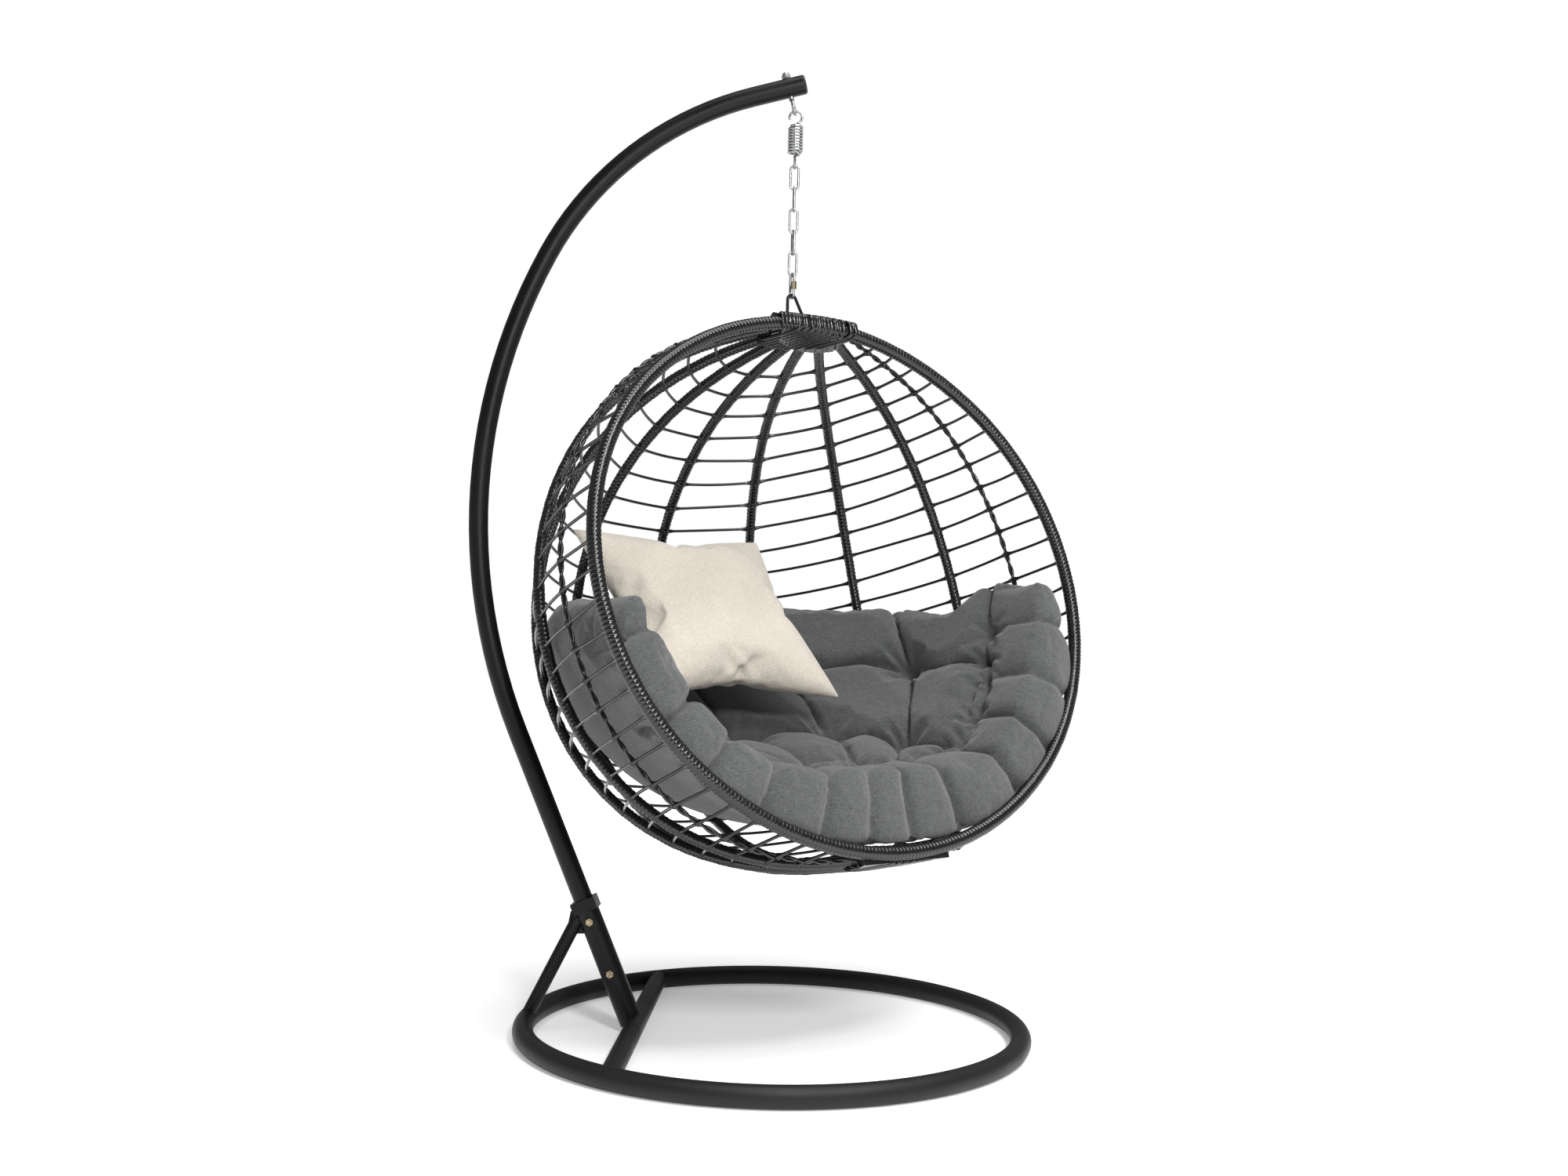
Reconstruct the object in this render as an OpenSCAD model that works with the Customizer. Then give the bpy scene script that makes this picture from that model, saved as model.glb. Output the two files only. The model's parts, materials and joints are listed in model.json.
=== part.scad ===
// Hanging egg chair: a tubular C-stand on a ring base, with a spring and chain
// that carry a wicker basket, a seat cushion and a scatter pillow.
// Frame: origin on the floor at the centre of the base ring, +Z up, the stand
// in the YZ plane with its pole at +Y. Lengths are in millimetres.

/* [Stand] */
// Outer diameter of the base ring
ring_od = 1000; // [960:10:1060]
// Diameter of the ring's tube
ring_tube = 40; // [36:1:42]
// Distance of the crossbar behind the ring's centre
crossbar_y = 265; // [255:1:275]
// Diameter of the crossbar
crossbar_d = 38; // [34:1:40]
// Diameter of the pole
pole_d = 38; // [36:1:40]
// Wall thickness of the stand's tubes
tube_wall = 2; // [1.5:0.5:2.5]
// Lean of the pole's lower straight, away from the ring's centre
pole_lean = 23.2; // [22.5:0.1:24]
// Length of the pole's lower straight, from floor tube height
pole_straight = 612; // [600:1:620]
// Radius of the pole's lower bend
lower_bend_r = 1118; // [1100:1:1130]
// Radius of the pole's upper bend
upper_bend_r = 636; // [625:1:645]
// Length of the straight end that carries the eye bolt
pole_end_straight = 103; // [90:1:110]
// Outer diameter of the socket that holds the pole's foot
socket_d = 45; // [43:1:48]
// Length of the socket along the pole
socket_length = 257; // [240:1:270]

/* [Hanging gear] */
// Distance of the hanging axis behind the ring's centre
hang_y = -6.4; // [-8:0.1:-5]
// Wire diameter of the spring
spring_wire = 5; // [4:0.5:5]
// Number of turns of the spring
spring_turns = 9; // [7:1:9]
// Wire diameter of a chain link
link_wire = 4.4; // [4:0.1:4.6]
// Outer length of a chain link
link_length = 52.6; // [50:0.1:54]
// Outer width of a chain link
link_width = 20; // [19:0.5:22]

/* [Basket] */
// Half height of the rim
rim_half_h = 525; // [510:1:535]
// Half width of the rim
rim_half_w = 567; // [550:1:575]
// Depth of the basket behind the rim
basket_depth = 770; // [740:1:775]
// Turn of the basket from facing straight forward
basket_turn = 52.8; // [0:0.1:90]
// Lean of the basket's opening, upwards
basket_tilt = 16.1; // [14:0.1:20]
// Diameter over the wrapped rim
rim_d = 25; // [24:0.5:26]
// Diameter over a wrapped rib
rib_d = 22; // [20:0.5:22]
// Number of woven rows
rows = 27; // [20:1:30]

/* [Soft goods] */
// Side of the scatter pillow
pillow_side = 470; // [430:1:480]
// Thickness of the scatter pillow at its middle
pillow_thick = 120; // [80:1:130]

/* [Hidden] */
$fn = 48;
RIB_COUNT = 7;
GAP_COUNT = 10;
LINK_COUNT = 5;
// Gap between the straights and bends of one tube, so that each stays a true cylinder or torus
seam = 0.02;

// --- stand ---
ring_r = ring_tube / 2;
ring_centre_r = ring_od / 2 - ring_r;
bar_half = sqrt(pow(ring_centre_r, 2) - pow(crossbar_y, 2));
foot_y = 275;
pole_heading = [pole_lean, -27.2, -75.3];
lean_dir = [0, sin(pole_lean), cos(pole_lean)];
pole_gap = 48;
collar_side = 49;
collar_h = 24;
bolt_d = 8;
bolt_stations = [105.5, 213];
nut_af = 13;
nut_h = 6.5;
brace_top = [384, 222];
brace_foot = [477, 34];
brace_d = 26;
brace_web = [[372, 226], [400, 232], [408, 188], [358, 190]];
cap_h = 4;

// --- points along the pole, as [y, z] ---
function ahead(a) = [sin(a), cos(a)];
function side(a) = [-cos(a), sin(a)];
pole_a = [foot_y, ring_r];
pole_b = pole_a + pole_straight * ahead(pole_heading[0]);
centre_1 = pole_b + lower_bend_r * side(pole_heading[0]);
pole_c = centre_1 - lower_bend_r * side(pole_heading[1]);
centre_2 = pole_c + upper_bend_r * side(pole_heading[1]);
pole_d_pt = centre_2 - upper_bend_r * side(pole_heading[2]);
pole_tip = pole_d_pt + pole_end_straight * ahead(pole_heading[2]);

// --- eye bolt, square to the pole's end ---
eye_back = 31;
eye_mid = pole_tip - eye_back * ahead(pole_heading[2]);
eye_lean = 90 + pole_heading[2];
eye_drop = 40.5;
eye_ring_r = 14;
eye_wire = 6;
eye_shank_d = 10;

// --- hanging gear, from the top down ---
gap = 0.2;
eye_seat_z = 1826.4;
hook_r = 12.5;
hook_gap = 1.1;
hook_z = eye_seat_z + hook_gap - hook_r + spring_wire / 2;
coil_r = 13;
coil_top = 1798;
coil_bottom = 1745;
low_hook_r = 7.5;
low_hook_z = 1722;
low_seat_z = low_hook_z - low_hook_r + spring_wire / 2;
link_r = (link_width - link_wire) / 2;
link_half = (link_length - link_width) / 2;
link_pitch = link_length - 2 * link_wire - gap;
link_1_z = low_seat_z + gap + link_wire - link_length / 2;
link_turn = [0, 96, 12, 108, 22];
quick_wire = 5;
quick_length = 54;
quick_width = 22;
quick_r = (quick_width - quick_wire) / 2;
quick_half = (quick_length - quick_width) / 2;
link_5_z = link_1_z - (LINK_COUNT - 1) * link_pitch;
quick_z = link_5_z - link_length / 2 + link_wire + gap + quick_wire - quick_length / 2;
quick_turn = 116;
quick_gap = 6;
sleeve_af = 9;
sleeve_h = 15;
sleeve_bore = 5.2;
hanger_wire = 6.5;
hanger_r = 10;
hanger_z = quick_z - quick_length / 2 + quick_wire + gap + hanger_wire / 2;

// --- basket: x along the rim's width, y behind the rim, z along the rim's height ---
basket_roll = 0.9;
rim_top = [0, -54, 1399];
superness = 0.86;
hub_spread = 49;
hub_back = 50;
rib_step = [0, 18.8, 38.9, 60.5];
side_cane_step = 75.9;
cane_d = 10;
strand_d = 5.5;
rib_tube_d = 14;
rib_tube_wall = 1;
rim_tube_d = 22;
rim_tube_wall = 2;
hub_r = 102;
hub_shift = -20;
hub_h = 30;
root_r = 92;
root_fan = 0.87;
root_fade = 4;
root_gap = 1;
first_row = 11;
rim_slack = 2.5;
rim_lead = 6;
rib_segments = 26;
rib_angles = [for (k = [-3:3]) 90 - sign(k) * rib_step[abs(k)]];
post_angles = concat([180, 90 + side_cane_step],
    [for (k = [0:RIB_COUNT - 1]) rib_angles[k]], [90 - side_cane_step, 0]);

// Half extent of the basket, square to its height, at azimuth f
function reach(f) = 1 / sqrt(pow(cos(f) / rim_half_w, 2) + pow(sin(f) / basket_depth, 2));
// Where the meridian at azimuth f would end in the hub, and how far its root is fanned out from there
function hub_end(f) = [hub_spread * cos(f), hub_back];
function root_shift(f) = let (g = 90 + (f - 90) * root_fan)
    [root_r * cos(g), hub_shift + root_r * sin(g)] - hub_end(f);
// A point on the meridian at azimuth f; t runs from 0 at the top to 180 at the bottom
function meridian(f, t) =
    let (p = pow(max(sin(t), 0), superness),
        a = hub_end(f) * (1 - p) + root_shift(f) * pow(1 - p, root_fade) + p * reach(f) * [cos(f), sin(f)])
    [a[0], a[1], rim_half_h * cos(t)];
// The angle t at which the meridian leaves the hub, found by halving the range
function leave_t(f, low = 0, high = 20, n = 18) = n == 0 ? high :
    let (t = (low + high) / 2, q = meridian(f, t))
    norm([q[0], q[1] - hub_shift]) > hub_r + root_gap
        ? leave_t(f, low, t, n - 1) : leave_t(f, t, high, n - 1);
// Where row t meets the rim: a little farther from its top, or bottom, than on the meridians
function on_rim(f, t) = let (u = t + rim_lead * cos(t)) [rim_half_w * sin(u) * cos(f), 0, rim_half_h * cos(u)];
function post(k, t) =
    (k == 0 || k == GAP_COUNT) ? on_rim(post_angles[k], t) : meridian(post_angles[k], t);
function post_r(k) =
    (k == 0 || k == GAP_COUNT) ? rim_d / 2 + rim_slack : (k == 1 || k == GAP_COUNT - 1) ? cane_d / 2 : rib_d / 2;
function row_t(j) = first_row + (180 - 2 * first_row) * j / (rows - 1);

// --- rim as four tangent arcs ---
rim_side_r = 500;
rim_end_r = (pow(rim_half_w - rim_side_r, 2) + pow(rim_half_h, 2) - pow(rim_side_r, 2))
    / (2 * (rim_half_h - rim_side_r));
rim_joint = atan2(rim_end_r - rim_half_h, rim_half_w - rim_side_r);

// --- soft goods ---
cushion_inset = 30;
cushion_skirt = 60;
cushion_front = 34;
cushion_fade = 190;
cushion_share = [0.015, 0.045];
cushion_floor = [0.935, 0.87];
cushion_lobe = 52;
cushion_level = 848;
cushion_seat = 538;
cushion_wall = 14;
pillow_wall = 12;
pillow_at = [175, 141, 826];
pillow_turn = [-43.5, 0, -44.5];

// ---------- shared shapes ----------

// A vector's direction
function unit(v) = v / norm(v);
// Two directions square to d
function across(d) = unit(cross(d, abs(d[2]) < 0.9 ? [0, 0, 1] : [1, 0, 0]));

// The rings of points round a swept line; the first axis is carried along, so that it never twists
function swept_rings(pts, r, sides) = let (
    n = len(pts),
    dirs = [for (i = [0:n - 1]) unit(pts[min(i + 1, n - 1)] - pts[max(i - 1, 0)])],
    axes = [for (i = 0, a = across(dirs[0]); i < n;
        i = i + 1, a = i < n ? unit(a - (a * dirs[i]) * dirs[i]) : a) a])
    [for (i = [0:n - 1], k = [0:sides - 1]) let (w = 360 * k / sides, b = cross(dirs[i], axes[i]))
        pts[i] + r * (cos(w) * axes[i] + sin(w) * b)];
// The walls between those rings, as quads, from point number start
function swept_walls(n, sides, start = 0, flip = false) = [for (i = [0:n - 2], k = [0:sides - 1])
    let (a = start + i * sides + k, b = start + i * sides + (k + 1) % sides)
    flip ? [a, b, b + sides, a + sides] : [a, a + sides, b + sides, b]];

// Round bar swept through the points pts
module sweep(pts, r, sides = 8) {
    n = len(pts);
    ends = [[for (k = [0:sides - 1]) k], [for (k = [sides - 1:-1:0]) (n - 1) * sides + k]];
    polyhedron(swept_rings(pts, r, sides), concat(swept_walls(n, sides), ends), convexity = 6);
}

// Round tube with a bore of radius bore, swept through the points pts
module sweep_tube(pts, r, bore, sides = 8) {
    n = len(pts);
    m = n * sides;
    top = (n - 1) * sides;
    ends = [for (k = [0:sides - 1]) let (q = (k + 1) % sides) each [
        [k, q, m + q, m + k],
        [top + q, top + k, m + top + k, m + top + q]]];
    polyhedron(concat(swept_rings(pts, r, sides), swept_rings(pts, bore, sides)),
        concat(swept_walls(n, sides), swept_walls(n, sides, m, true), ends), convexity = 8);
}

// An arc of round bar in the XY plane, with a bore of radius bore if it is a tube
module arc_tube(bend_r, r, from, turn, bore = 0) {
    trim = seam / bend_r * 180 / PI;
    rotate([0, 0, from]) rotate_extrude(angle = turn - trim) translate([bend_r, 0]) difference() {
        circle(r);
        if (bore > 0) circle(bore);
    }
}

// A straight round bar or tube from p towards the heading a in the YZ plane
module bar_yz(p, a, length, r, bore = 0) {
    translate([0, p[0], p[1]]) rotate([-a, 0, 0]) linear_extrude(length - seam) difference() {
        circle(r);
        if (bore > 0) circle(bore);
    }
}

// A bend of round bar or tube in the YZ plane, from heading a to heading b
module bend_yz(centre, bend_r, a, b, r, bore = 0) {
    translate([0, centre[0], centre[1]]) rotate([90, 0, 90]) arc_tube(bend_r, r, -a, a - b, bore);
}

// A closed oval ring of round wire in the XZ plane: a chain link
module oval_ring(bend_r, half, wire_r) {
    for (s = [-1, 1]) {
        translate([0, 0, s * half]) rotate([90, 0, 0]) rotate([0, 0, s > 0 ? 0 : 180])
            rotate_extrude(angle = 180) translate([bend_r, 0]) circle(wire_r);
        translate([s * bend_r, 0, -half]) cylinder(r = wire_r, h = 2 * half);
    }
}

// Moves its children from the basket's frame to the chair's
module in_basket() {
    translate(rim_top) rotate([0, 0, -basket_turn]) rotate([-basket_tilt, 0, 0])
        rotate([0, -basket_roll, 0]) translate([0, 0, -rim_half_h]) children();
}

// ---------- stand ----------

module base_ring() {
    color("#2c2d2f") translate([0, 0, ring_r]) difference() {
        rotate_extrude() translate([ring_centre_r, 0]) circle(ring_r);
        rotate_extrude() translate([ring_centre_r, 0]) circle(ring_r - tube_wall);
    }
}

module ring_solid() {
    translate([0, 0, ring_r]) rotate_extrude() translate([ring_centre_r, 0]) circle(ring_r);
}

module base_crossbar() {
    color("#2c2d2f") difference() {
        translate([-bar_half, crossbar_y, ring_r]) rotate([0, 90, 0])
            cylinder(d = crossbar_d, h = 2 * bar_half);
        translate([-bar_half - 1, crossbar_y, ring_r]) rotate([0, 90, 0])
            cylinder(d = crossbar_d - 2 * tube_wall, h = 2 * bar_half + 2);
        ring_solid();
    }
}

module crossbar_solid() {
    translate([-bar_half, crossbar_y, ring_r]) rotate([0, 90, 0])
        cylinder(d = crossbar_d, h = 2 * bar_half);
}

// The two cross holes of the socket and the pole's foot
module bolt_holes() {
    for (s = bolt_stations)
        translate([0, foot_y, ring_r] + s * lean_dir)
            rotate([0, 90, 0]) cylinder(d = bolt_d + 0.3, h = 2 * socket_d, center = true);
}

module socket_body() {
    bar_yz(pole_a, pole_lean, socket_length, socket_d / 2);
    translate([0, foot_y, ring_r]) rotate([-pole_lean, 0, 0])
        translate([-collar_side / 2, -collar_side / 2, socket_length - collar_h])
            cube([collar_side, collar_side, collar_h]);
}

module pole_socket() {
    color("#1b1c1d") difference() {
        socket_body();
        bar_yz(pole_a, pole_lean, socket_length + 1, pole_d / 2 + 0.1);
        crossbar_solid();
        bolt_holes();
    }
}

module socket_brace() {
    run = brace_foot - brace_top;
    color("#1b1c1d") difference() {
        union() {
            translate([0, brace_top[0], brace_top[1]])
                rotate([-atan2(run[0], run[1]), 0, 0]) cylinder(d = brace_d, h = norm(run));
            translate([-3, 0, 0]) rotate([90, 0, 90]) linear_extrude(6) polygon(brace_web);
        }
        socket_body();
        ring_solid();
        bolt_holes();
    }
}

module pole_line(r, bore) {
    bar_yz(pole_a + pole_gap * ahead(pole_lean), pole_lean, pole_straight - pole_gap, r, bore);
    bend_yz(centre_1, lower_bend_r, pole_heading[0], pole_heading[1], r, bore);
    bend_yz(centre_2, upper_bend_r, pole_heading[1], pole_heading[2], r, bore);
    bar_yz(pole_d_pt, pole_heading[2], pole_end_straight, r, bore);
}

module pole() {
    color("#141415") difference() {
        pole_line(pole_d / 2, pole_d / 2 - tube_wall);
        bolt_holes();
        eye_axis() translate([0, 0, -40]) cylinder(d = eye_shank_d + 0.3, h = 80);
    }
}

module pole_end_cap() {
    color("#101011") translate([0, pole_tip[0], pole_tip[1]]) rotate([-pole_heading[2], 0, 0]) {
        cylinder(r1 = pole_d / 2, r2 = pole_d / 2 - 2.5, h = cap_h);
        translate([0, 0, -14]) cylinder(d = pole_d - 2 * tube_wall - 0.2, h = 14);
    }
}

// A bolt head or nut: a hexagonal prism
module hexagon(across_flats, h) {
    cylinder(r = across_flats / 2 / cos(30), h = h, $fn = 6);
}

// Places its children on a cross bolt, with z along +X
module at_bolts() {
    for (s = bolt_stations)
        translate([0, foot_y, ring_r] + s * lean_dir) rotate([0, 90, 0]) children();
}

module socket_bolts() {
    half = socket_d / 2;
    color("#c9bd96") at_bolts() {
        translate([0, 0, -half - nut_h - 4]) cylinder(d = bolt_d, h = 2 * half + nut_h + 4);
        translate([0, 0, half + 0.3]) hexagon(nut_af, 5.5);
        translate([0, 0, half - 1]) cylinder(d = bolt_d, h = 1.4);
    }
}

module socket_nuts() {
    half = socket_d / 2;
    color("#c9bd96") at_bolts() translate([0, 0, -half - nut_h - 0.3]) difference() {
        hexagon(nut_af, nut_h);
        translate([0, 0, -1]) cylinder(d = bolt_d + 0.05, h = nut_h + 2);
    }
}

// Places its children at the pole's end with z along the eye bolt, upwards
module eye_axis() {
    translate([0, eye_mid[0], eye_mid[1]]) rotate([-eye_lean, 0, 0]) children();
}

module eye_bolt() {
    color("#d2d3d4") eye_axis() {
        translate([0, 0, -eye_drop + eye_ring_r]) cylinder(d = eye_shank_d, h = eye_drop - eye_ring_r + pole_d / 2 + 5);
        translate([0, 0, -eye_drop]) rotate([90, 0, 0]) rotate_extrude()
            translate([eye_ring_r, 0]) circle(d = eye_wire);
    }
}

module eye_bolt_nut() {
    color("#d2d3d4") eye_axis() translate([0, 0, pole_d / 2 + 0.2]) difference() {
        union() {
            hexagon(17, 7);
            intersection() {
                translate([0, 0, 6]) sphere(r = 8);
                translate([-10, -10, 6]) cube([20, 20, 10]);
            }
        }
        translate([0, 0, -1]) cylinder(d = eye_shank_d + 0.05, h = 6);
    }
}

// ---------- hanging gear ----------

// The spring's centreline: top hook, coil and bottom hook
function spring_path() = concat(
    [for (a = [-20:20:250]) [0, hook_r * cos(a), hook_z + hook_r * sin(a)]],
    [for (a = [30:30:240]) let (q = a / 270)
        [coil_r * q * sin(a), -coil_r * q * cos(a), hook_z - hook_r - 1 + (coil_top - hook_z + hook_r) * q]],
    [for (a = [270:30:270 + 360 * spring_turns])
        [coil_r * sin(a), -coil_r * cos(a), coil_top + (coil_bottom - coil_top) * (a - 270) / (360 * spring_turns)]],
    [for (a = [300:30:480]) let (q = (a - 270) / 240)
        [coil_r * (1 - q) * sin(a), -coil_r * (1 - q) * cos(a), coil_bottom - 7 * q]],
    [[-2, 0, 1733], [-low_hook_r + 1, 0, 1728]],
    [for (a = [180:20:380]) [low_hook_r * cos(a), 0, low_hook_z + low_hook_r * sin(a)]]);

module hang_spring() {
    color("#c4c6c8") translate([0, hang_y, 0]) sweep(spring_path(), spring_wire / 2, 8);
}

module chain_link(k) {
    color("#cfd0d2") translate([0, hang_y, link_1_z - (k - 1) * link_pitch])
        rotate([0, 0, 90 + link_turn[k - 1]]) oval_ring(link_r, link_half, link_wire / 2);
}

module at_quick() {
    translate([0, hang_y, quick_z]) rotate([0, 0, 90 + quick_turn]) children();
}

module quick_link() {
    color("#cfd0d2") at_quick() difference() {
        oval_ring(quick_r, quick_half, quick_wire / 2);
        translate([quick_r - quick_wire, -quick_wire, -quick_gap / 2])
            cube([2 * quick_wire, 2 * quick_wire, quick_gap]);
    }
}

module quick_link_sleeve() {
    color("#bfb48c") at_quick() translate([quick_r, 0, -sleeve_h / 2]) difference() {
        hexagon(sleeve_af, sleeve_h);
        translate([0, 0, -1]) cylinder(d = sleeve_bore, h = sleeve_h + 2);
    }
}

// ---------- basket frame ----------

// The hub's block about the rim's top, or bottom
module hub_block(s) {
    translate([0, 0, s * rim_half_h - hub_h / 2]) linear_extrude(hub_h) intersection() {
        translate([0, hub_shift]) circle(hub_r);
        translate([-hub_r, 0]) square([2 * hub_r, hub_r]);
    }
}

module hub(s) {
    color("#262728") in_basket() difference() {
        hub_block(s);
        rim_solid(rim_d / 2);
    }
}

// The rim's four arcs, as round bar or as tube
module rim_solid(r, bore = 0) {
    rotate([90, 0, 0]) for (s = [0, 180]) rotate([0, 0, s]) {
        translate([rim_half_w - rim_side_r, 0, 0])
            arc_tube(rim_side_r, r, -rim_joint, 2 * rim_joint, bore);
        translate([0, rim_half_h - rim_end_r, 0])
            arc_tube(rim_end_r, r, rim_joint, 180 - 2 * rim_joint, bore);
    }
}

module rim_hoop() {
    color("#1c1d1e") in_basket() rim_solid(rim_tube_d / 2, rim_tube_d / 2 - rim_tube_wall);
}

module rim_wrap() {
    color("#2a2b2d") in_basket() rim_solid(rim_d / 2, rim_tube_d / 2);
}

// The points of a rib at azimuth f, from hub to hub
function rib_pts(f) = let (t = leave_t(f)) [for (i = [0:rib_segments]) meridian(f, t + (180 - 2 * t) * i / rib_segments)];

module rib(k) {
    color("#1c1d1e") in_basket()
        sweep_tube(rib_pts(rib_angles[k - 1]), rib_tube_d / 2, rib_tube_d / 2 - rib_tube_wall);
}

module rib_wrap(k) {
    color("#2a2b2d") in_basket() sweep_tube(rib_pts(rib_angles[k - 1]), rib_d / 2, rib_tube_d / 2);
}

module side_cane(s) {
    color("#2a2b2d") in_basket() sweep(rib_pts(90 + s * side_cane_step), cane_d / 2, 6);
}

// The rods of one gap: one for each row, from post k to post k + 1
module weave(k) {
    color("#232425") in_basket() for (j = [0:rows - 1]) {
        t = row_t(j);
        a = post(k - 1, t);
        b = post(k, t);
        d = unit(b - a);
        ca = abs(unit(post(k - 1, t + 1) - post(k - 1, t - 1)) * d);
        cb = abs(unit(post(k, t + 1) - post(k, t - 1)) * d);
        sa = (post_r(k - 1) + strand_d / 2 * ca) / sqrt(1 - ca * ca);
        sb = (post_r(k) + strand_d / 2 * cb) / sqrt(1 - cb * cb);
        if (norm(b - a) - sa - sb > 6) rod(a + sa * d, b - sb * d);
    }
}

module rod(a, b) {
    d = b - a;
    translate(a) rotate([0, acos(d[2] / norm(d)), atan2(d[1], d[0])])
        cylinder(d = strand_d, h = norm(d), $fn = 24);
}

// The hanger's centreline, in a plane along the rim
function hanger_path() = let (foot = -52) concat(
    [[-hanger_r, 0, foot], [-hanger_r, 0, -30]],
    [for (a = [180:-15:30]) [hanger_r * cos(a), 0, -hanger_r + hanger_r * sin(a)]],
    [[hanger_r * cos(30) + tan(30) * (-foot - hanger_r / 2), 0, foot]]);

module hanger_loop() {
    color("#161617") difference() {
        translate([0, hang_y, hanger_z]) rotate([0, 0, -basket_turn])
            sweep(hanger_path(), hanger_wire / 2, 10);
        in_basket() hub_block(1);
        in_basket() rim_solid(rim_d / 2);
    }
}

// ---------- soft goods ----------

// Height above the floor of a point of the basket's frame, and the inverse
tilt_rise = sin(basket_tilt);
centre_z = rim_top[2] - rim_half_h * cos(basket_tilt);
function local_z(world, y) = (world - centre_z + tilt_rise * y) / cos(basket_tilt);
// Plan radius of the cushion's edge at azimuth f, from its centre to the shell less the inset
function edge_r(f) = let (
    z = local_z(cushion_level - cushion_skirt, 0.85 * basket_depth * sin(f)),
    p = pow(1 - pow(z / rim_half_h, 2), superness / 2),
    half_w = rim_half_w * p,
    half_d = basket_depth * p + hub_back * (1 - p),
    a = pow(cos(f) / half_w, 2) + pow(sin(f) / half_d, 2),
    b = cushion_front * sin(f) / pow(half_d, 2),
    c = pow(cushion_front / half_d, 2) - 1)
    (sqrt(b * b - a * c) - b) / a - cushion_inset;
// The seat's height at plan radius share s
function bowl(s) = cushion_seat + (cushion_level - cushion_seat) * pow(min(s / 0.9, 1), 4.2)
    - (s > 0.9 ? 60 * (1 - sqrt(max(1 - pow((s - 0.9) / 0.1, 2), 0))) : 0);
// A smooth step from 0 to 1
function ease(q) = let (p = min(max(q, 0), 1)) p * p * (3 - 2 * p);
// The front corner on the right stands higher than the rest of the edge
function lobe(x, y) = cushion_lobe * ease((x - 230) / 170) * ease((270 - y) / 150);
function cushion_top(s, x, y) = local_z(bowl(s) + lobe(x, y), y);
// The underside lies close to the shell at the front and draws away from it behind
function cushion_under(s, x, y) = let (
    back = ease((y - cushion_front) / cushion_fade),
    share = cushion_share[0] + (cushion_share[1] - cushion_share[0]) * back,
    floor = cushion_floor[0] + (cushion_floor[1] - cushion_floor[0]) * back,
    q = min(norm([x / rim_half_w, y / basket_depth]) + share, 0.999))
    min(-floor * rim_half_h * sqrt(1 - pow(q, 2 / superness)), cushion_top(s, x, y) - 40);

// The cushion's closed form, drawn in by inset on every side
module cushion_form(inset = 0, n_f = 16, n_s = 9) {
    fs = [for (i = [0:n_f]) 180 * i / n_f];
    ss = [for (j = [1:n_s]) sin(90 * j / n_s)];
    function plan(f, s) = let (r = max(edge_r(f) - inset, 1) * s)
        [r * cos(f), cushion_front + inset + r * sin(f) * (1 - inset / 700)];
    function layer(top) = [for (f = fs, s = ss) let (p = plan(f, s))
        [p[0], p[1], top ? cushion_top(s, p[0], p[1]) - inset : cushion_under(s, p[0], p[1]) + inset]];
    m = (n_f + 1) * n_s;
    y0 = cushion_front + inset;
    middle = [[0, y0, cushion_top(0, 0, y0) - inset], [0, y0, cushion_under(0, 0, y0) + inset]];
    function at(i, j, l) = 2 + l * m + i * n_s + j;
    shells = [for (i = [0:n_f - 1], j = [0:n_s - 2]) each [
        [at(i, j, 0), at(i, j + 1, 0), at(i + 1, j + 1, 0)],
        [at(i, j, 0), at(i + 1, j + 1, 0), at(i + 1, j, 0)],
        [at(i, j, 1), at(i + 1, j + 1, 1), at(i, j + 1, 1)],
        [at(i, j, 1), at(i + 1, j, 1), at(i + 1, j + 1, 1)]]];
    caps = [for (i = [0:n_f - 1]) each [[0, at(i, 0, 0), at(i + 1, 0, 0)], [1, at(i + 1, 0, 1), at(i, 0, 1)]]];
    rims = [for (i = [0:n_f - 1]) each [
        [at(i, n_s - 1, 0), at(i, n_s - 1, 1), at(i + 1, n_s - 1, 1)],
        [at(i, n_s - 1, 0), at(i + 1, n_s - 1, 1), at(i + 1, n_s - 1, 0)]]];
    right = concat([0], [for (j = [0:n_s - 1]) at(0, j, 0)], [for (j = [n_s - 1:-1:0]) at(0, j, 1)], [1]);
    left = concat([0], [for (j = [0:n_s - 1]) at(n_f, j, 0)], [for (j = [n_s - 1:-1:0]) at(n_f, j, 1)], [1]);
    polyhedron(concat(middle, layer(true), layer(false)),
        concat([for (t = concat(shells, caps, rims)) [t[2], t[1], t[0]]],
            front_faces(right, n_s), front_faces(left, n_s, true)), convexity = 8);
}

// The flat front, as quads between the top line and the under line
function front_faces(line, n_s, flip = false) = [for (j = [0:n_s - 1])
    let (q = [line[j], line[j + 1], line[len(line) - 2 - j], line[(len(line) - 1 - j) % len(line)]])
    flip ? q : [q[3], q[2], q[1], q[0]]];

module seat_cushion() {
    color("#505454") in_basket() difference() {
        cushion_form();
        cushion_form(cushion_wall);
    }
}

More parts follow.
